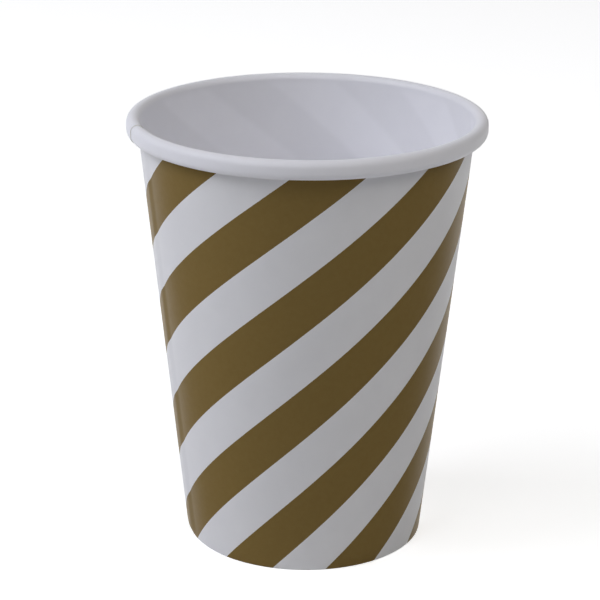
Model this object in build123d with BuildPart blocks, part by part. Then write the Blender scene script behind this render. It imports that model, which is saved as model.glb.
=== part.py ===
# Paper cup for cold drinks, in millimetres.
# The cup stands on the plane z = 0, with its axis on Z and its origin at the centre of the standing edge.
# It is made of two pieces of coated board, as a cup machine joins them.
# The side wall is one blank rolled into a cone: a lap seam, a rolled rim and a hem folded inwards.
# The base is a disc with its edge turned down, and that edge is held between the wall and the hem.
import os
from math import acos, asin, atan2, cos, degrees, hypot, radians, sin, tan

from build123d import *

# Whole cup
cup_height = 96.0
rim_diameter = 78.0
base_diameter = 52.4
wall_board = 0.35

# Rolled rim: its height, the outside radius of the roll, and how near its end comes to the wall
rim_height = 4.1
rim_roll = 1.5
rim_clearance = 0.1

# Hem: the height of the folded edge, and the bevel that the press leaves on its corners
hem_height = 6.0
fold_bevel = 0.2

# Base: the depth of the recess below it, its board, the bevel of its crease and where its turned edge ends
recess_depth = 7.0
base_board = 0.35
crease_bevel = 0.3
skirt_end = 0.6
seal_gap = 0.05

# Lap seam: the direction of the inner end of the blank, the width of the lap and of the bend beside it
seam_direction = 197.0
lap_width = 8.0
lap_bend = 3.0
lap_foot = 0.5
groove_margin = 0.1

# Rolled rim in section: the printed face turns over on one circle, and back to the wall on a second one below it
base_radius = base_diameter / 2
roll_radius = rim_diameter / 2 - rim_roll
roll_top = cup_height - rim_roll
roll_foot = cup_height - rim_height + rim_roll
inner_roll = rim_roll - wall_board

# The wall is the straight line from the standing edge that just touches the upper circle
roll_offset = roll_radius - base_radius
slope = atan2(roll_offset, roll_top) - asin(inner_roll / hypot(roll_offset, roll_top))
wall_across = wall_board / cos(slope)
base_across = base_board / cos(slope)


def outer_radius(z):
    """Radius of the printed face of the wall at a height."""
    return base_radius + z * tan(slope)


def inner_radius(z):
    """Radius of the inside face of the wall at a height."""
    return outer_radius(z) - wall_across


def skirt_radius(z):
    """Radius of the outer face of the base's turned edge at a height."""
    return inner_radius(z) - seal_gap


def hem_back(z):
    """Radius of the face of the hem that holds the base's turned edge, at a height."""
    return skirt_radius(z) - base_across - seal_gap


def hem_face(z):
    """Radius of the printed face of the hem, which looks at the axis, at a height."""
    return hem_back(z) - wall_across


def polar(radius, direction):
    """Point in plan at a radius and a direction in degrees."""
    return (radius * cos(radians(direction)), radius * sin(radians(direction)))


def radial_plane(direction):
    """Upright plane through the axis, with its own x along a direction in degrees."""
    x, y = polar(1, direction)
    return Plane(origin=(0, 0, 0), x_dir=(x, y, 0), z_dir=(y, -x, 0))


def arc_degrees(length, radius):
    """Angle that a length along an arc takes up."""
    return degrees(length / radius)


# Where the wall ends and the roll begins, and how far the roll turns before it is back at the wall
wall_distance = (roll_radius - outer_radius(roll_foot)) * cos(slope)
top_turn = 180 - degrees(slope)
foot_turn = 180 + degrees(slope) - degrees(acos((wall_distance - rim_clearance) / rim_roll))

# Lap seam
lap_head = roll_top
groove_foot = lap_foot + wall_board
groove_head = roll_top - wall_board
hem_lap_head = hem_height - lap_foot
hem_lap_arc = arc_degrees(lap_width, hem_face(hem_height))

# Side wall
with BuildPart() as side_wall:
    # The board in section, turned once round the axis
    with BuildSketch(Plane.XZ):
        with BuildLine():
            printed_top = CenterArc((roll_radius, roll_top), inner_roll, top_turn, -top_turn)
            printed_foot = CenterArc((roll_radius, roll_foot), inner_roll, 0, -foot_turn)
            inside_top = CenterArc((roll_radius, roll_top), rim_roll, top_turn, -top_turn)
            inside_foot = CenterArc((roll_radius, roll_foot), rim_roll, 0, -foot_turn)
            Line(printed_top @ 1, printed_foot @ 0)
            Line(inside_top @ 1, inside_foot @ 0)
            Line(printed_foot @ 1, inside_foot @ 1)
            Polyline(
                printed_top @ 0,
                (base_radius, 0),
                (hem_face(0), 0),
                (hem_face(hem_height), hem_height),
                (hem_back(hem_height), hem_height),
                (hem_back(wall_board), wall_board),
                (inner_radius(wall_board), wall_board),
                inside_top @ 0,
            )
        make_face()
    revolve(axis=Axis.Z)
    chamfer(side_wall.edges().filter_by(GeomType.CIRCLE).group_by(Axis.Z)[0], fold_bevel)

    # The outer end of the blank lies over the inner end, and bends down to the wall beside it
    for height in (lap_foot, lap_head):
        core = outer_radius(height) - wall_across / 2
        face = outer_radius(height) + wall_across
        edge = seam_direction - arc_degrees(lap_width, face)
        bend = seam_direction + arc_degrees(lap_bend, face)
        with BuildSketch(Plane.XY.offset(height)):
            with BuildLine():
                CenterArc((0, 0), face, edge, seam_direction - edge)
                Line(polar(face, seam_direction), polar(core, bend))
                CenterArc((0, 0), core, bend, edge - bend)
                Line(polar(core, edge), polar(face, edge))
            make_face()
    loft(ruled=True)

    # Inside, the wall steps back from the inner end of the blank by the same bend
    for height in (groove_foot, groove_head):
        face = inner_radius(height)
        bend = seam_direction + arc_degrees(lap_bend, face)
        with BuildSketch(Plane.XY.offset(height)):
            with BuildLine():
                Polyline(
                    polar(face - groove_margin, seam_direction),
                    polar(face + wall_across, seam_direction),
                    polar(face - groove_margin, bend),
                    close=True,
                )
            make_face()
    loft(ruled=True, mode=Mode.SUBTRACT)

    # The hem is doubled on the side that looks at the axis
    with BuildSketch(radial_plane(seam_direction - hem_lap_arc)):
        with BuildLine():
            Polyline(
                (hem_face(lap_foot) + wall_across / 2, lap_foot),
                (hem_face(lap_foot) - wall_across, lap_foot),
                (hem_face(hem_lap_head) - wall_across, hem_lap_head),
                (hem_face(hem_lap_head) + wall_across / 2, hem_lap_head),
                close=True,
            )
        make_face()
    revolve(axis=Axis.Z, revolution_arc=hem_lap_arc)

side_wall.part.label = "side_wall"

# Base
floor_top = recess_depth + base_board

with BuildPart() as base:
    with BuildSketch(Plane.XZ):
        with BuildLine():
            Polyline(
                (0, floor_top),
                (skirt_radius(floor_top) - crease_bevel, floor_top),
                (skirt_radius(floor_top - crease_bevel), floor_top - crease_bevel),
                (skirt_radius(skirt_end), skirt_end),
            )
            offset(amount=base_board, side=Side.RIGHT)
        make_face()
    revolve(axis=Axis.Z)

base.part.label = "base"

os.makedirs("parts", exist_ok=True)
export_step(side_wall.part, "parts/side_wall.step")
export_step(base.part, "parts/base.step")
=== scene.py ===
"""Paper cup for cold drinks: the looks of the one-piece board wall and of its set-in base.

The wall is one blank of coated cupstock. It is rolled into a cone, lapped and sealed at one side,
folded in at the foot and rolled outwards at the mouth. The base is a disc with its edge turned down.
"""

import logging
import math
from dataclasses import dataclass, field
from enum import Enum, IntEnum
from typing import Any

import bpy
import numpy as np
from mathutils import Euler, Matrix, Vector

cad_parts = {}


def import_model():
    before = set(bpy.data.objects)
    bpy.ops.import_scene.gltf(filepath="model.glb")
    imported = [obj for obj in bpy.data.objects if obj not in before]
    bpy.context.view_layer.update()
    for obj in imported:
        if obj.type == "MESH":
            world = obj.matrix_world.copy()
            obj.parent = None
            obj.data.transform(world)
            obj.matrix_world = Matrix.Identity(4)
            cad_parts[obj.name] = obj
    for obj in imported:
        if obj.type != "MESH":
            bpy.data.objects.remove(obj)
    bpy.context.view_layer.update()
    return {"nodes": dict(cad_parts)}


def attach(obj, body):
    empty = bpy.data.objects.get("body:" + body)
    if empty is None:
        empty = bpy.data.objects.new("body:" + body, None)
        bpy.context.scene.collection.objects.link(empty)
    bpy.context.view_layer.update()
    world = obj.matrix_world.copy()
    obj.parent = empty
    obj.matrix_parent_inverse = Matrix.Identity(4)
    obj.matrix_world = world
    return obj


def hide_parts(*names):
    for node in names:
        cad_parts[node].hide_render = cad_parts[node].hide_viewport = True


log = logging.getLogger("paper_cup")

MM = 0.001
PRINT_MAP = "Blank"
BAKE_MAP = "OFBake"
HUNDREDS = 100.0
PHOTO_SIZE = 600
WHITE = (1.0, 1.0, 1.0, 1.0)
BLACK = (0.0, 0.0, 0.0, 1.0)


class Finish(IntEnum):
    """Material slots of the side wall, in the order in which they are added."""

    PRINTED = 0
    PLAIN = 1
    CUT = 2


class Lamp(Enum):
    """Lamps of the studio, by their place around the cup."""

    KEY = "key"
    FRONT = "front"
    FILL = "fill"
    BACK = "back"


def linear(hex_colour: str) -> tuple[float, float, float, float]:
    """Turn an sRGB hex colour into the linear colour that a shader takes.

    Args:
        hex_colour: Colour such as "#c8c8d0".

    Returns:
        Linear red, green and blue, with an alpha of 1.
    """
    parts = [int(hex_colour[i : i + 2], 16) / 255 for i in (1, 3, 5)]
    return (*(c / 12.92 if c <= 0.04045 else ((c + 0.055) / 1.055) ** 2.4 for c in parts), 1.0)


def add_node(
    tree: bpy.types.NodeTree,
    kind: str,
    settings: dict[str, Any] | None = None,
    inputs: dict[Any, Any] | None = None,
) -> bpy.types.Node:
    """Add one shader node with its settings, values and links.

    Args:
        tree: Node tree that the node goes into.
        kind: Node type, such as "ShaderNodeMath".
        settings: Properties of the node by name.
        inputs: Input sockets by name or number. A socket of another node is linked, anything else is a value.

    Returns:
        The new node.
    """
    node = tree.nodes.new(kind)
    for name, value in (settings or {}).items():
        setattr(node, name, value)
    for key, value in (inputs or {}).items():
        if isinstance(value, bpy.types.NodeSocket):
            tree.links.new(value, node.inputs[key])
        else:
            node.inputs[key].default_value = value
    return node


def add_math(
    tree: bpy.types.NodeTree, operation: str, *values: bpy.types.NodeSocket | float
) -> bpy.types.NodeSocket:
    """Add a node for one step of arithmetic.

    Args:
        tree: Node tree that the node goes into.
        operation: What the node works out, such as "MULTIPLY".
        values: Sockets or numbers that it takes, in order.

    Returns:
        The result.
    """
    return add_node(tree, "ShaderNodeMath", {"operation": operation}, dict(enumerate(values))).outputs[0]


def add_noise(
    tree: bpy.types.NodeTree, place: bpy.types.NodeSocket, size: float, detail: float, roughness: float
) -> bpy.types.NodeSocket:
    """Add noise in three dimensions.

    Args:
        tree: Node tree that the node goes into.
        place: Where the noise is read, in metres.
        size: Size of its largest spots in millimetres.
        detail: Number of finer layers on them.
        roughness: Strength of each finer layer as a share of the one before.

    Returns:
        The noise, from 0 to 1.
    """
    return add_node(
        tree,
        "ShaderNodeTexNoise",
        {"noise_dimensions": "3D"},
        {"Vector": place, "Scale": 1 / (size * MM), "Detail": detail, "Roughness": roughness},
    ).outputs["Fac"]


def add_step(
    tree: bpy.types.NodeTree,
    value: bpy.types.NodeSocket,
    span: tuple[float, float],
    results: tuple[float, float] = (0.0, 1.0),
) -> bpy.types.NodeSocket:
    """Add a smooth step.

    Args:
        tree: Node tree that the node goes into.
        value: Where the step is read.
        span: Values at which it starts and ends.
        results: Results before and after it.

    Returns:
        The result.
    """
    return add_node(
        tree,
        "ShaderNodeMapRange",
        {"interpolation_type": "SMOOTHSTEP"},
        {
            "Value": value,
            "From Min": span[0],
            "From Max": span[1],
            "To Min": results[0],
            "To Max": results[1],
        },
    ).outputs[0]


def add_mix(
    tree: bpy.types.NodeTree,
    share: bpy.types.NodeSocket,
    first: bpy.types.NodeSocket | tuple[float, ...],
    second: bpy.types.NodeSocket | tuple[float, ...],
) -> bpy.types.NodeSocket:
    """Mix two linear colours.

    Args:
        tree: Node tree that the node goes into.
        share: Share of the second colour.
        first: Colour at a share of 0.
        second: Colour at a share of 1.

    Returns:
        The mixed colour.
    """
    return add_node(tree, "ShaderNodeMix", {"data_type": "RGBA"}, {0: share, 6: first, 7: second}).outputs[2]


def new_material(name: str) -> bpy.types.Material:
    """Start a material with an empty node tree.

    Args:
        name: Name of the material.

    Returns:
        The new material.
    """
    material = bpy.data.materials.new(name)
    material.use_nodes = True
    material.node_tree.nodes.clear()
    return material


def add_surface(tree: bpy.types.NodeTree, relief: bpy.types.Node, inputs: dict[str, Any]) -> None:
    """End a material in one opaque surface.

    Args:
        tree: Node tree that the nodes go into.
        relief: Bump node with the fibres of the board.
        inputs: Colour, roughness and gloss of the surface by their input's name.
    """
    shader = add_node(
        tree, "ShaderNodeBsdfPrincipled", inputs={**inputs, "Normal": relief.outputs["Normal"]}
    )
    add_node(tree, "ShaderNodeOutputMaterial", inputs={"Surface": shader.outputs["BSDF"]})


def smooth_step(value: np.ndarray | float, start: float, end: float) -> np.ndarray:
    """Rise smoothly from 0 at start to 1 at end.

    Args:
        value: Where the step is read.
        start: Value at which it is still 0.
        end: Value at which it is 1.

    Returns:
        The height of the step.
    """
    t = np.clip((np.asarray(value, dtype=float) - start) / (end - start), 0.0, 1.0)
    return t * t * (3 - 2 * t)


@dataclass(frozen=True)
class Relief:
    """Fine relief of a board's face: its depth in millimetres, and the share of it that shows."""

    depth: float = 0.02
    strength: float = 0.35

    def add(self, tree: bpy.types.NodeTree, height: bpy.types.NodeSocket) -> bpy.types.Node:
        """Add the relief as a bump.

        Args:
            tree: Node tree that the node goes into.
            height: Height of the relief, from 0 to 1.

        Returns:
            The bump node.
        """
        inputs = {"Strength": self.strength, "Distance": self.depth * MM, "Height": height}
        return add_node(tree, "ShaderNodeBump", inputs=inputs)


@dataclass(frozen=True)
class StripeArtwork:
    """Spiral stripes of one ink, laid out on the flat blank in degrees round the cup and millimetres up it.

    The stripes lean evenly round the whole cup. Towards the back the sheet has slipped by a few degrees,
    which shows faintly through the board on the inside. Pitch, start and slip are in degrees, and middle
    and foot in millimetres. Rise is the stripes' lean in degrees to a millimetre, bow is how it changes
    up the wall, and fan is how the pitch does.
    """

    pitch: float = 50.44
    fan: float = -0.0112
    share: float = 0.5025
    start: float = 6.2
    rise: float = 2.036
    bow: float = -0.0002
    middle: float = 48.0
    slip: float = 5.4
    slip_from: float = 88.0
    slip_to: float = 140.0
    foot: float = -2.4

    def read_map(self, tree: bpy.types.NodeTree) -> tuple[bpy.types.NodeSocket, bpy.types.NodeSocket]:
        """Read the place on the flat blank, which its map holds in hundreds.

        Args:
            tree: Node tree that the nodes go into.

        Returns:
            Degrees round the cup, and millimetres up the wall.
        """
        blank = add_node(tree, "ShaderNodeUVMap", {"uv_map": PRINT_MAP}).outputs["UV"]
        parts = add_node(tree, "ShaderNodeSeparateXYZ", inputs={0: blank}).outputs
        degrees = add_math(tree, "MULTIPLY", parts["X"], HUNDREDS)
        height = add_math(tree, "MULTIPLY", parts["Y"], HUNDREDS)
        return degrees, height

    def from_centre(
        self,
        tree: bpy.types.NodeTree,
        degrees: bpy.types.NodeSocket,
        height: bpy.types.NodeSocket,
        stray: bpy.types.NodeSocket | float = 0.0,
    ) -> bpy.types.NodeSocket:
        """Measure the distance from the centre line of the nearest stripe.

        Args:
            tree: Node tree that the nodes go into.
            degrees: Place round the cup.
            height: Place up the wall in millimetres.
            stray: Degrees by which the edge strays.

        Returns:
            The distance in pitches of the pattern; the ink ends at half the stripes' share.
        """
        over = add_math(tree, "SUBTRACT", height, self.middle)
        lean = add_math(tree, "MULTIPLY_ADD", over, -self.bow, -self.rise)
        unwound = add_math(tree, "MULTIPLY_ADD", over, lean, degrees)
        slipped = add_step(
            tree, degrees, (self.slip_from, self.slip_to), (-self.start, self.slip - self.start)
        )
        placed = add_math(tree, "ADD", unwound, slipped)
        strayed = add_math(tree, "ADD", placed, stray)
        pitch = add_math(tree, "MULTIPLY_ADD", over, self.fan, self.pitch)
        count = add_math(tree, "DIVIDE", strayed, pitch)
        centred = add_math(tree, "SUBTRACT", count, self.share / 2)
        return add_math(tree, "PINGPONG", centred, 0.5)


@dataclass(frozen=True)
class PrintedCupstock:
    """Solid bleached board with a clay-coated face, printed flexo in one ink and left matt.

    The clay coat gives an even white with a faint cloudiness, and the ink lies on it in a flat film with
    a slightly ragged edge. Both are matt: only little of the light comes back as gloss. Every size is in
    millimetres. How far the ink's edge strays, ragged, is in degrees round the cup.
    """

    artwork: StripeArtwork = StripeArtwork()
    board: str = "#e9e9eb"
    board_cloud: str = "#e3e3e6"
    cloud_size: float = 6.0
    ink: str = "#826d40"
    ink_cloud: str = "#7b6538"
    mottle_size: float = 1.2
    ragged: float = 0.05
    ragged_size: float = 0.35
    fibre_size: float = 0.5
    relief: Relief = Relief()
    roughness: float = 0.45
    roughness_spread: float = 0.05
    ink_levelling: float = 0.05
    gloss_ahead: float = 0.03
    gloss_grazing: float = 0.1
    gloss_span: tuple[float, float] = (0.45, 0.85)
    ior: float = 1.5

    def make(self) -> bpy.types.Material:
        """Build the material.

        Returns:
            The printed board, with its stripes laid out on the flat blank's own map.
        """
        material = new_material("printed_cupstock")
        tree = material.node_tree
        place = add_node(tree, "ShaderNodeTexCoord").outputs["Object"]
        degrees, height = self.artwork.read_map(tree)

        # The ink's edge strays by hundredths of a millimetre, because it wicks along the fibres.
        fray = add_noise(tree, place, self.ragged_size, 2.0, 0.6)
        stray = add_math(tree, "MULTIPLY_ADD", fray, 4 * self.ragged, -2 * self.ragged)
        away = self.artwork.from_centre(tree, degrees, height, stray)
        stripe = add_math(tree, "LESS_THAN", away, self.artwork.share / 2)
        above_foot = add_math(tree, "GREATER_THAN", height, self.artwork.foot)
        inked = add_math(tree, "MULTIPLY", stripe, above_foot)

        cloud = add_noise(tree, place, self.cloud_size, 3.0, 0.55)
        mottle = add_noise(tree, place, self.mottle_size, 4.0, 0.65)
        paper = add_mix(tree, cloud, linear(self.board), linear(self.board_cloud))
        ink = add_mix(tree, mottle, linear(self.ink), linear(self.ink_cloud))
        colour = add_mix(tree, inked, paper, ink)

        # The film of ink is a little smoother than the bare coated board.
        spread = self.roughness_spread
        rough = add_math(tree, "MULTIPLY_ADD", mottle, 2 * spread, self.roughness - spread)
        rough_ink = add_math(tree, "MULTIPLY_ADD", inked, -self.ink_levelling, rough)

        # The fibres stand in the way of the gloss from ahead and leave it at a grazing angle.
        fibre = add_noise(tree, place, self.fibre_size, 4.0, 0.6)
        facing = add_node(tree, "ShaderNodeLayerWeight", inputs={"Blend": 0.5}).outputs["Facing"]
        gloss = add_step(tree, facing, self.gloss_span, (self.gloss_ahead, self.gloss_grazing))
        look = {
            "Base Color": colour,
            "Roughness": rough_ink,
            "IOR": self.ior,
            "Specular IOR Level": gloss,
        }
        add_surface(tree, self.relief.add(tree, fibre), look)
        return material


@dataclass(frozen=True)
class CoatedBoard:
    """White food board with a film of polyethylene melted onto it, unprinted.

    The film follows the fibres, so the white has a soft sheen that breaks up over a fine orange peel.
    Where the other face is printed, the ink holds back the light that comes through the board; this light is
    painted into the colour as a faint shade over the print, and the roll gets an even painted shade. The
    sizes of clouds and peel are in millimetres, and so is the height at which the roll starts.
    """

    name: str = "film_coated_board"
    board: str = "#f4f4f9"
    board_cloud: str = "#efeff5"
    cloud_size: float = 5.0
    peel_size: float = 0.7
    relief: Relief = Relief()
    roughness: float = 0.45
    roughness_spread: float = 0.06
    specular: float = 0.25
    ior: float = 1.51
    artwork: StripeArtwork | None = None
    show_through: float = 0.045
    blur: float = 0.05
    roll_start: float = 94.5
    roll_blur: float = 1.5
    roll_painted_shade: float = 0.08

    def painted_shade(self, tree: bpy.types.NodeTree) -> bpy.types.NodeSocket:
        """Work out the painted shade: the light that the print behind the board holds back, and an even shade
        over the roll.

        Args:
            tree: Node tree that the nodes go into.

        Returns:
            The share of the colour taken away as painted shade: faint and soft-edged over the print, even on
            the roll.
        """
        degrees, height = self.artwork.read_map(tree)
        away = self.artwork.from_centre(tree, degrees, height)
        edge = self.artwork.share / 2
        # Painted shade over the print behind the board, where the ink holds back the light that comes through
        # it
        behind = add_step(tree, away, (edge - self.blur, edge + self.blur), (self.show_through, 0.0))
        # An even painted shade darkens the white over the whole roll, soft-edged where the roll starts
        rolled = add_step(
            tree, height, (self.roll_start - self.roll_blur, self.roll_start + self.roll_blur)
        )
        return add_node(
            tree, "ShaderNodeMix", {"data_type": "FLOAT"}, {0: rolled, 2: behind, 3: self.roll_painted_shade}
        ).outputs[0]

    def make(self) -> bpy.types.Material:
        """Build the material.

        Returns:
            The plain coated board.
        """
        material = new_material(self.name)
        tree = material.node_tree
        place = add_node(tree, "ShaderNodeTexCoord").outputs["Object"]
        cloud = add_noise(tree, place, self.cloud_size, 3.0, 0.55)
        peel = add_noise(tree, place, self.peel_size, 3.0, 0.5)
        colour = add_mix(tree, cloud, linear(self.board), linear(self.board_cloud))
        # With the print behind it, the white is darkened by painted shade over the print and an even painted
        # shade on the roll
        if self.artwork is not None:
            colour = add_mix(tree, self.painted_shade(tree), colour, BLACK)
        spread = self.roughness_spread
        look = {
            "Base Color": colour,
            "Roughness": add_math(tree, "MULTIPLY_ADD", peel, 2 * spread, self.roughness - spread),
            "IOR": self.ior,
            "Specular IOR Level": self.specular,
        }
        add_surface(tree, self.relief.add(tree, peel), look)
        return material


@dataclass(frozen=True)
class CutPulp:
    """Bleached pulp where the blank was die-cut: open fibres with no coat, warmer and fully matt."""

    pulp: str = "#e9e7e2"
    shade: str = "#dcd9d2"
    fibre_size: float = 0.2
    relief: Relief = Relief(depth=0.04, strength=0.8)
    roughness: float = 0.92

    def make(self) -> bpy.types.Material:
        """Build the material.

        Returns:
            The raw edge of the board.
        """
        material = new_material("cut_pulp")
        tree = material.node_tree
        place = add_node(tree, "ShaderNodeTexCoord").outputs["Object"]
        fibre = add_noise(tree, place, self.fibre_size, 4.0, 0.7)
        colour = add_mix(tree, fibre, linear(self.pulp), linear(self.shade))
        look = {"Base Color": colour, "Roughness": self.roughness}
        add_surface(tree, self.relief.add(tree, fibre), look)
        return material


@dataclass
class Section:
    """Points along the printed face of the wall's board, from the hem's end to the end of the roll.

    Each row holds the radius, the height, the printed side's direction in the section and the place on
    the flat blank, all in millimetres.
    """

    radius: list[float] = field(default_factory=list)
    height: list[float] = field(default_factory=list)
    facing: list[float] = field(default_factory=list)
    blank: list[float] = field(default_factory=list)

    def add(self, radius: float, height: float, facing: float) -> None:
        """Add a point.

        Args:
            radius: Distance from the axis.
            height: Height over the standing edge.
            facing: Angle in radians of the printed side's direction, from outwards towards up.
        """
        step = math.hypot(radius - self.radius[-1], height - self.height[-1]) if self.radius else 0.0
        self.blank.append((self.blank[-1] if self.blank else 0.0) + step)
        self.radius.append(radius)
        self.height.append(height)
        self.facing.append(facing)


@dataclass(frozen=True)
class Ripple:
    """One slow wave round the wall: its height in millimetres, its count, its twist and its start.

    The twist is in degrees of the wave to a millimetre up the wall, and the start is in degrees too.
    """

    size: float
    count: int
    twist: float
    start: float

    def offset(self, direction: np.ndarray, height: np.ndarray) -> np.ndarray:
        """Work out how far the wave stands off the wall.

        Args:
            direction: Directions in degrees from the front.
            height: Heights over the standing edge in millimetres.

        Returns:
            Offsets in millimetres.
        """
        phase = self.count * direction + self.twist * height + self.start
        return self.size * np.sin(np.radians(phase))


@dataclass
class SideWall:
    """The one-piece wall of the cup, with its sizes in millimetres and its inner end in degrees.

    The inner end is the direction of the blank's covered end, from the front. A pair of heights says
    where something starts and where it is complete, or where it starts to end and where it has ended.
    """

    cup_height: float = 96.0
    rim_diameter: float = 78.0
    base_diameter: float = 52.4
    board: float = 0.35
    rim_height: float = 4.1
    rim_roll: float = 1.5
    rim_clearance: float = 0.1
    hem_height: float = 6.0
    fold_radius: float = 0.42
    seal_gap: float = 0.05
    inner_end: float = -73.0
    lap_width: float = 8.0
    lap_bend: float = 3.0
    lap_step: float = 0.36
    rim_step: float = 0.04
    rim_press: float = 0.2
    press_before: float = 3.0
    press_after: float = 1.0
    tuck: float = 0.15
    tuck_heights: tuple[float, float] = (0.15, 1.6)
    knurl_count: int = 72
    knurl_depth: float = 0.05
    knurl_starts: tuple[float, float] = (0.8, 1.6)
    knurl_ends: tuple[float, float] = (4.8, 5.6)
    ripples: tuple[Ripple, ...] = (
        Ripple(0.020, 5, 0.9, 0.0),
        Ripple(0.012, 9, -1.7, 40.0),
        Ripple(0.008, 14, 2.3, 110.0),
    )
    hem_rows: int = 9
    foot_zone: float = 4.0
    rim_zone: float = 8.0
    open_columns: int = 340
    bake_margin: float = 0.004
    bake_face: float = 0.475
    bake_strip: float = 0.005
    bake_gap: float = 0.0025

    @property
    def inner_roll(self) -> float:
        """Radius of the printed face inside the roll."""
        return self.rim_roll - self.board

    @property
    def roll_radius(self) -> float:
        """Distance of the roll's centre from the axis."""
        return self.rim_diameter / 2 - self.rim_roll

    @property
    def roll_top(self) -> float:
        """Height of the centre of the roll's upper circle."""
        return self.cup_height - self.rim_roll

    @property
    def roll_foot(self) -> float:
        """Height of the centre of the roll's lower circle."""
        return self.cup_height - self.rim_height + self.rim_roll

    @property
    def slope(self) -> float:
        """Work out the lean of the wall: the line from the standing edge that just touches the roll.

        Returns:
            The wall's angle from the axis in radians.
        """
        across = self.roll_radius - self.base_diameter / 2
        reach = math.hypot(across, self.roll_top)
        return math.atan2(across, self.roll_top) - math.asin(self.inner_roll / reach)

    def outer_radius(self, height: float) -> float:
        """Radius of the printed face at a height."""
        return self.base_diameter / 2 + height * math.tan(self.slope)

    def hem_radius(self, height: float) -> float:
        """Radius of the hem's printed face at a height, two boards and two gaps inside the wall's inside."""
        across = self.board / math.cos(self.slope)
        return self.outer_radius(height) - 3 * across - 2 * self.seal_gap

    def section(self) -> Section:
        """Lay out the board in section.

        Returns:
            The printed face from the hem's end, round the fold, up the wall and over the roll.
        """
        section = Section()
        lean = self.slope
        fold = self.fold_radius
        hem_facing = math.pi - lean
        hem_turn = math.pi / 2 + lean
        wall_turn = math.pi / 2 - lean
        hem_reach = fold * math.tan(hem_turn / 2)
        wall_reach = fold * math.tan(wall_turn / 2)

        # Hem, from its end down to the fold
        hem_foot = hem_reach * math.cos(lean)
        for t in np.linspace(0, 1, self.hem_rows):
            height = self.hem_height + t * (hem_foot - self.hem_height)
            section.add(self.hem_radius(height), height, hem_facing)

        # Fold: a small circle at each corner of the pressed standing edge
        for t in np.linspace(0, 1, 7)[1:]:
            facing = hem_facing + t * hem_turn
            section.add(
                self.hem_radius(0) + hem_reach + fold * math.cos(facing),
                fold + fold * math.sin(facing),
                facing,
            )
        for t in np.linspace(0, 1, 6):
            facing = 1.5 * math.pi + t * wall_turn
            section.add(
                self.base_diameter / 2 - wall_reach + fold * math.cos(facing),
                fold + fold * math.sin(facing),
                facing,
            )

        # Wall, with closer rows near the fold and under the rim
        low = section.height[-1]
        high = self.roll_top + self.inner_roll * math.sin(lean)
        rows = np.concatenate(
            (
                np.linspace(low, low + self.foot_zone, 6)[1:],
                np.linspace(low + self.foot_zone, high - self.rim_zone, 22)[1:],
                np.linspace(high - self.rim_zone, high, 9)[1:],
            )
        )
        for height in rows:
            section.add(self.outer_radius(height), height, 2 * math.pi - lean)

        # Roll: over the upper circle, down a short straight and back towards the wall on the lower circle
        top_turn = math.pi - lean
        for t in np.linspace(0, 1, 19)[1:]:
            angle = top_turn * (1 - t)
            section.add(
                self.roll_radius + self.inner_roll * math.cos(angle),
                self.roll_top + self.inner_roll * math.sin(angle),
                angle + math.pi,
            )
        section.add(
            self.roll_radius + self.inner_roll, (self.roll_top + self.roll_foot) / 2, math.pi
        )
        distance = (self.roll_radius - self.outer_radius(self.roll_foot)) * math.cos(lean)
        foot_turn = math.pi + lean - math.acos((distance - self.rim_clearance) / self.rim_roll)
        for t in np.linspace(0, 1, 15):
            angle = -foot_turn * t
            section.add(
                self.roll_radius + self.inner_roll * math.cos(angle),
                self.roll_foot + self.inner_roll * math.sin(angle),
                angle + math.pi,
            )
        return section

    def columns(self, radius: np.ndarray) -> np.ndarray:
        """Lay out the directions of the columns round the cup, from the blank's inner end to its outer end.

        Args:
            radius: Radius of each row where the lap's width is measured.

        Returns:
            Directions in degrees from the front, one row for each row of the section.
        """
        turn = np.degrees(1 / radius)[:, None]
        bent = self.lap_width + self.lap_bend
        under = np.concatenate(
            (np.linspace(0, self.lap_width, 17), np.linspace(self.lap_width, bent, 7)[1:])
        )[None, :]
        over = np.concatenate(
            (np.linspace(self.lap_bend, 0, 9), np.linspace(0, -self.lap_width, 15)[1:])
        )[None, :]
        first = self.inner_end + 360 - turn * under
        last = self.inner_end + turn * over
        share = np.linspace(0, 1, self.open_columns)[None, 1:-1]
        between = first[:, -1:] + (last[:, :1] - first[:, -1:]) * share
        return np.concatenate((first, between, last), axis=1)

    def offsets(
        self, section: Section, direction: np.ndarray, turn: np.ndarray
    ) -> tuple[np.ndarray, np.ndarray]:
        """Work out how far the board stands off its plain section, and how thick it is.

        In the roll both boards of the lap are pressed to less than half of their thickness.

        Args:
            section: The board in section.
            direction: Directions of the columns on each row, in degrees.
            turn: Degrees to a millimetre on each row.

        Returns:
            Offsets towards the printed side, and the thickness of the board, in millimetres.
        """
        height = np.array(section.height)[:, None]
        blank = np.array(section.blank)[:, None]
        high = self.roll_top + self.inner_roll * math.sin(self.slope)
        start_of_roll = section.blank[int(np.argmax(np.array(section.height) >= high - 1e-6))]
        rolled = smooth_step(blank, start_of_roll - self.press_before, start_of_roll + self.press_after)
        standing = smooth_step(height, *self.tuck_heights)
        past_inner = (self.inner_end + 360 - direction) / turn
        past_outer = (direction - self.inner_end) / turn
        under = 1 - smooth_step(past_inner, self.lap_width, self.lap_width + self.lap_bend)
        over = 1 - smooth_step(past_outer, 0.0, self.lap_bend)
        pressed = self.rim_press * rolled
        thickness = self.board - pressed * np.maximum(under, over)
        offset = -under * (pressed + self.rim_step * rolled + self.tuck * (1 - standing))
        offset = offset + over * (self.lap_step * standing - 2 * pressed - self.rim_step * rolled)

        # The crimping roller leaves a fine knurl on the hem.
        hem = (blank < section.blank[self.hem_rows - 1]) * smooth_step(height, *self.knurl_starts)
        hem = hem * (1 - smooth_step(height, *self.knurl_ends))
        offset = offset + hem * self.knurl_depth * np.cos(np.radians(direction) * self.knurl_count)

        # Slow ripples that a rolled board keeps, a few hundredths of a millimetre high
        ripple = sum(ripple.offset(direction, height) for ripple in self.ripples)
        return offset + ripple * standing * (1 - rolled), thickness

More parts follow.
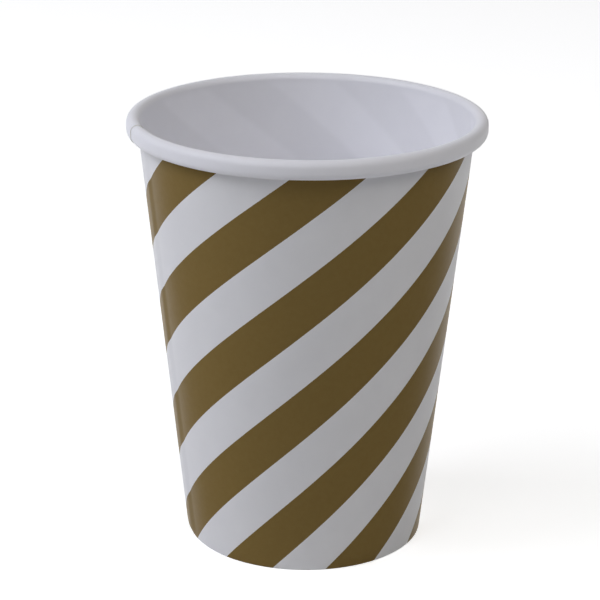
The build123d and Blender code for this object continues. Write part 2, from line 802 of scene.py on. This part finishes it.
    def build(self) -> bpy.types.Object:
        """Build the wall as one closed sheet of board.

        Returns:
            The wall, with its printed, plain and cut faces in their own materials.
        """
        section = self.section()
        radius, height, facing, blank = (
            np.array(values) for values in (section.radius, section.height, section.facing, section.blank)
        )
        fold_row = int(np.argmin(height))
        high = self.roll_top + self.inner_roll * math.sin(self.slope)
        roll_row = int(np.argmax(height >= high - 1e-6))
        lap_radius = np.where(np.arange(len(radius)) < roll_row, radius, radius[roll_row])
        direction = self.columns(lap_radius)
        offset, thickness = self.offsets(section, direction, np.degrees(1 / lap_radius)[:, None])

        def place(depth: np.ndarray) -> np.ndarray:
            """Place the points of one face of the board.

            Args:
                depth: How far each point stands off the section, towards the printed side.

            Returns:
                The points in metres, row by row.
            """
            r = radius[:, None] + depth * np.cos(facing)[:, None]
            z = height[:, None] + depth * np.sin(facing)[:, None]
            angle = np.radians(direction)
            return np.stack((r * np.sin(angle), -r * np.cos(angle), z), axis=-1).reshape(-1, 3) * MM

        rows, cols = direction.shape
        points = np.concatenate((place(offset), place(offset - thickness)))
        front = np.arange(rows * cols).reshape(rows, cols)
        back = front + rows * cols

        # Place on the flat blank: degrees round the cup and height on the wall, both in hundreds
        level = height.copy()
        level[: fold_row + 1] = blank[: fold_row + 1] - blank[fold_row]
        level[roll_row + 1 :] = height[roll_row] + blank[roll_row + 1 :] - blank[roll_row]
        levels = np.repeat(level[:, None], cols, axis=1)
        blank_map = np.tile(np.stack((direction, levels), axis=-1).reshape(-1, 2) / HUNDREDS, (2, 1))

        # Place in the bake: printed face above, plain face below, cut edges in thin bands between them
        wide = 1 - 2 * self.bake_margin
        across = (direction - direction.min()) / (direction.max() - direction.min())
        along = np.repeat((blank / blank[-1])[:, None], cols, axis=1)
        bands = self.bake_strip + self.bake_face
        sideways = self.bake_margin + wide * across
        high_half, low_half = (
            np.stack((sideways, foot + self.bake_face * along), axis=-1).reshape(-1, 2)
            for foot in (1 - bands, self.bake_strip)
        )
        face_map = np.concatenate((high_half, low_half))

        # Both faces, then the cut edges at the hem's end, at the roll's end and at both ends of the blank
        printed, plain = (
            np.stack(corners, axis=-1).reshape(-1, 4)
            for corners in (
                (front[:-1, :-1], front[1:, :-1], front[1:, 1:], front[:-1, 1:]),
                (back[:-1, :-1], back[:-1, 1:], back[1:, 1:], back[1:, :-1]),
            )
        )
        quads = [printed, plain]
        bake = [face_map[printed], face_map[plain]]
        cuts = (
            (front[0, :], back[0, :], across[0, :]),
            (back[-1, :], front[-1, :], across[-1, :]),
            (back[:, 0], front[:, 0], along[:, 0]),
            (front[:, -1], back[:, -1], along[:, 0]),
        )
        for number, (one, other, way) in enumerate(cuts):
            low = bands + self.bake_strip + number * (self.bake_strip + self.bake_gap)
            high = low + self.bake_strip
            left = self.bake_margin + wide * way[:-1]
            right = self.bake_margin + wide * way[1:]
            corners = ((left, low), (right, low), (right, high), (left, high))
            quads.append(np.stack((one[:-1], one[1:], other[1:], other[:-1]), axis=-1))
            bake.append(np.stack([np.stack((u, np.full_like(u, v)), axis=-1) for u, v in corners], axis=1))
        finish = np.repeat(
            [Finish.PRINTED, Finish.PLAIN, Finish.CUT], [len(printed), len(plain), sum(map(len, quads[2:]))]
        )

        mesh = bpy.data.meshes.new("side_wall_board")
        corners_of_faces = np.concatenate(quads)
        mesh.from_pydata(points.tolist(), [], corners_of_faces.tolist())
        for name, uv in ((PRINT_MAP, blank_map[corners_of_faces]), (BAKE_MAP, np.concatenate(bake))):
            layer = mesh.uv_layers.new(name=name)
            layer.data.foreach_set("uv", uv.astype(np.float32).ravel())
        mesh.polygons.foreach_set("material_index", finish.astype(np.int32))
        mesh.polygons.foreach_set("use_smooth", np.ones(len(corners_of_faces), dtype=bool))
        self.sharpen(mesh, rows, cols)
        mesh.validate()
        mesh.update()

        wall = bpy.data.objects.new("cup_side_wall", mesh)
        bpy.context.scene.collection.objects.link(wall)
        mesh.materials.append(PrintedCupstock().make())
        mesh.materials.append(CoatedBoard(artwork=StripeArtwork()).make())
        mesh.materials.append(CutPulp().make())
        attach(wall, "root")
        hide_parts("side_wall")
        return wall

    @staticmethod
    def sharpen(mesh: bpy.types.Mesh, rows: int, cols: int) -> None:
        """Mark the board's cut edges as sharp.

        Args:
            mesh: The wall's mesh, with the printed face's points first.
            rows: Rows of points on each face.
            cols: Columns of points on each face.
        """
        size = rows * cols
        ends = np.empty(len(mesh.edges) * 2, dtype=np.int32)
        mesh.edges.foreach_get("vertices", ends)
        ends = ends.reshape(-1, 2)
        same_face = (ends[:, 0] < size) == (ends[:, 1] < size)
        row, col = np.divmod(ends % size, cols)
        on_row = (row[:, 0] == row[:, 1]) & np.isin(row[:, 0], (0, rows - 1))
        on_col = (col[:, 0] == col[:, 1]) & np.isin(col[:, 0], (0, cols - 1))
        sharp = mesh.attributes.new("sharp_edge", "BOOLEAN", "EDGE")
        sharp.data.foreach_set("value", same_face & (on_row | on_col))


@dataclass
class Base:
    """The set-in base: a disc of board whose edge is turned down, with its sizes in millimetres."""

    wall: SideWall
    recess_depth: float = 7.0
    board: float = 0.35
    crease_radius: float = 0.45
    skirt_end: float = 0.6
    pleat_count: int = 96
    pleat_depth: float = 0.03
    pleat_reach: float = 1.6
    pleat_fade: float = 0.4
    pleat_full: float = 0.3
    pleat_drop: float = 0.6
    column_count: int = 288
    rings: tuple[float, ...] = (0.0, 3.0, 8.0, 13.0, 17.0, 20.0, 22.5)
    skirt_rows: tuple[float, ...] = (5.2, 3.6, 2.0)

    def skirt_radius(self, height: float) -> float:
        """Radius of the outer face of the turned edge at a height."""
        across = self.wall.board / math.cos(self.wall.slope)
        return self.wall.outer_radius(height) - across - self.wall.seal_gap

    def profile(self) -> list[tuple[float, float]]:
        """Lay out the disc in section.

        Returns:
            Radius and height from the middle of the top, over the crease, down the edge and back below.
        """
        top = self.recess_depth + self.board
        lean = self.wall.slope
        crease = self.crease_radius
        corner = self.skirt_radius(top)
        reach = crease * math.tan((math.pi / 2 + lean) / 2)
        centre = (corner - reach, top - crease)
        flat = [*self.rings, *np.linspace(centre[0] - self.pleat_reach, centre[0], 5)[:-1]]
        upper = [(r, top) for r in flat]
        for t in np.linspace(0, 1, 9):
            angle = math.pi / 2 - t * (math.pi / 2 + lean)
            upper.append((centre[0] + crease * math.cos(angle), centre[1] + crease * math.sin(angle)))
        skirt = [(self.skirt_radius(height), height) for height in (*self.skirt_rows, self.skirt_end)]
        upper += skirt
        across = self.board / math.cos(lean)
        lower = [(radius - across, height) for radius, height in reversed(skirt)]
        inner = max(crease - self.board, 0.1)
        for t in np.linspace(1, 0, 6):
            angle = math.pi / 2 - t * (math.pi / 2 + lean)
            lower.append((centre[0] + inner * math.cos(angle), centre[1] + inner * math.sin(angle)))
        lower += [(r, self.recess_depth) for r in reversed(flat)]
        return upper + lower

    def build(self) -> bpy.types.Object:
        """Build the base.

        Returns:
            The base as one closed piece of board.
        """
        profile = np.array(self.profile())
        count = self.column_count
        angle = np.radians(np.arange(count) * 360 / count)
        radius = profile[1:-1, 0][:, None]
        height = profile[1:-1, 1][:, None]
        # Fine pleats that the turned edge leaves beside the crease
        corner = self.skirt_radius(self.recess_depth)
        near = smooth_step(radius, corner - self.pleat_reach - self.pleat_fade, corner - self.pleat_full)
        near = near * smooth_step(height, self.recess_depth - self.pleat_drop, self.recess_depth)
        lift = -self.pleat_depth * near * (0.5 + 0.5 * np.cos(self.pleat_count * angle)[None, :])
        ring = np.stack((radius * np.sin(angle), -radius * np.cos(angle), height + lift), axis=-1) * MM
        rows = len(ring)
        points = np.concatenate(
            (ring.reshape(-1, 3), [[0, 0, profile[0, 1] * MM], [0, 0, profile[-1, 1] * MM]])
        )
        index = np.arange(rows * count).reshape(rows, count)
        after = np.roll(index, -1, axis=1)
        quads = np.stack((index[:-1], index[1:], after[1:], after[:-1]), axis=-1).reshape(-1, 4)
        top_fan = [(rows * count, int(a), int(b)) for a, b in zip(index[0], after[0])]
        low_fan = [(rows * count + 1, int(b), int(a)) for a, b in zip(index[-1], after[-1])]
        mesh = bpy.data.meshes.new("base_board")
        mesh.from_pydata(points.tolist(), [], quads.tolist() + top_fan + low_fan)
        mesh.polygons.foreach_set("use_smooth", np.ones(len(mesh.polygons), dtype=bool))
        mesh.validate()
        mesh.update()
        base = bpy.data.objects.new("cup_base", mesh)
        bpy.context.scene.collection.objects.link(base)
        mesh.materials.append(CoatedBoard(name="base_board_film", peel_size=0.9).make())
        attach(base, "root")
        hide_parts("base")
        return base


@dataclass
class Studio:
    """Plain pale floor, soft lamps and the camera at the photograph's viewing angle.

    The camera's distance and the height that it aims at are in millimetres, and its angles in degrees.
    The floor and the lamps are in metres.
    """

    focal_pixels: float = 2250.0
    distance: float = 499.6
    sensor: float = 36.0
    elevation: float = 19.59
    roll: float = 0.463
    aim_height: float = 50.0
    aim_pixel: tuple[float, float] = (305.98, 314.54)
    floor_half: float = 3.0
    floor_tiles: int = 24
    floor_colour: str = "#e4e4e4"
    floor_lift: float = 0.68
    lamp_size: float = 0.8

    @staticmethod
    def shown_rays(tree: bpy.types.NodeTree) -> bpy.types.NodeSocket:
        """Tell the rays that show the background: the camera's, and those that gloss or glass sends on.

        Args:
            tree: Node tree that the nodes go into.

        Returns:
            A socket that is 1 for such a ray and 0 for any other.
        """
        path = add_node(tree, "ShaderNodeLightPath").outputs
        seen = add_math(tree, "MAXIMUM", path["Is Camera Ray"], path["Is Glossy Ray"])
        return add_math(tree, "MAXIMUM", seen, path["Is Transmission Ray"])

    def place_camera(self) -> None:
        """Create the camera and make it the scene's own."""
        data = bpy.data.cameras.new("photo_camera")
        data.sensor_width = self.sensor
        data.lens = self.focal_pixels / PHOTO_SIZE * self.sensor
        data.clip_start = 0.02
        data.clip_end = 50.0
        camera = bpy.data.objects.new("photo_camera", data)
        bpy.context.scene.collection.objects.link(camera)
        lift = math.radians(self.elevation)
        where = Vector(
            (0.0, -self.distance * math.cos(lift), self.aim_height + self.distance * math.sin(lift))
        )
        half = PHOTO_SIZE / 2
        pan = math.atan((self.aim_pixel[0] - half) / self.focal_pixels)
        tilt = math.atan((self.aim_pixel[1] - half) / self.focal_pixels)
        look = Euler((math.pi / 2 - lift, 0.0, 0.0)).to_matrix()
        turn = Matrix.Rotation(pan, 3, "Y") @ Matrix.Rotation(tilt, 3, "X")
        spin = Matrix.Rotation(math.radians(self.roll), 3, "Z")
        camera.matrix_world = Matrix.Translation(where * MM) @ (look @ turn @ spin).to_4x4()
        bpy.context.scene.camera = camera

    def lay_floor(self) -> bpy.types.Object:
        """Lay a wide pale floor that keeps the cup's shadow.

        Returns:
            The floor.
        """
        steps = np.linspace(-self.floor_half, self.floor_half, self.floor_tiles + 1)
        points = [(x, y, 0.0) for y in steps for x in steps]
        count = len(steps)
        quads = [
            (i * count + j, i * count + j + 1, (i + 1) * count + j + 1, (i + 1) * count + j)
            for i in range(count - 1)
            for j in range(count - 1)
        ]
        mesh = bpy.data.meshes.new("studio_floor")
        mesh.from_pydata(points, [], quads)
        floor = bpy.data.objects.new("studio_floor", mesh)
        bpy.context.scene.collection.objects.link(floor)
        material = new_material("studio_paper")
        tree = material.node_tree
        paper = add_node(tree, "ShaderNodeBsdfDiffuse", inputs={"Color": linear(self.floor_colour)})
        lift = add_math(tree, "MULTIPLY", self.shown_rays(tree), self.floor_lift)
        glow = add_node(tree, "ShaderNodeEmission", inputs={"Color": WHITE, "Strength": lift})
        both = add_node(tree, "ShaderNodeAddShader", inputs={0: paper.outputs[0], 1: glow.outputs[0]})
        add_node(tree, "ShaderNodeOutputMaterial", inputs={"Surface": both.outputs[0]})
        mesh.materials.append(material)
        return floor

    def hang_lamps(self) -> None:
        """Hang the soft lamps round the cup: their places in metres, their watts and their tints."""
        lamps = {
            Lamp.KEY: ((-0.89, -0.16, 0.84), 7.6, "#f5f7ff"),
            Lamp.FRONT: ((-0.58, -0.75, 0.79), 2.7, "#fdfdff"),
            Lamp.FILL: ((0.78, -0.35, 0.90), 4.6, "#fffcf7"),
            Lamp.BACK: ((-0.72, 0.80, 0.58), 0.8, "#f5f7ff"),
        }
        for lamp, (where, power, colour) in lamps.items():
            data = bpy.data.lights.new(f"{lamp.value}_lamp", "AREA")
            data.shape = "DISK"
            data.size = self.lamp_size
            data.energy = power
            data.color = linear(colour)[:3]
            body = bpy.data.objects.new(f"{lamp.value}_lamp", data)
            body.location = where
            aim = Vector((0.0, 0.0, self.aim_height * MM)) - Vector(where)
            body.rotation_euler = aim.to_track_quat("-Z", "Y").to_euler()
            bpy.context.scene.collection.objects.link(body)

    def set_world(self) -> None:
        """Show the room white to the camera and to reflections, and leave the light to the lamps."""
        world = bpy.data.worlds.new("studio_room")
        bpy.context.scene.world = world
        world.use_nodes = True
        tree = world.node_tree
        tree.nodes.clear()
        shown = self.shown_rays(tree)
        room = add_node(tree, "ShaderNodeBackground", inputs={"Color": WHITE, "Strength": shown})
        add_node(tree, "ShaderNodeOutputWorld", inputs={"Surface": room.outputs[0]})

    def build(self) -> None:
        """Set up the whole studio."""
        bpy.context.scene.view_settings.view_transform = "Standard"
        self.place_camera()
        self.lay_floor()
        self.hang_lamps()
        self.set_world()


def main() -> None:
    """Build the studio and the cup, and report each piece."""
    logging.basicConfig(level=logging.INFO, format="%(name)s: %(message)s")
    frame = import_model()
    log.info("frame: %d nodes", len(frame["nodes"]))
    Studio().build()
    wall = SideWall()
    for piece in (wall.build(), Base(wall).build()):
        log.info("%s: %d faces", piece.name, len(piece.data.polygons))


if __name__ == "__main__":
    main()
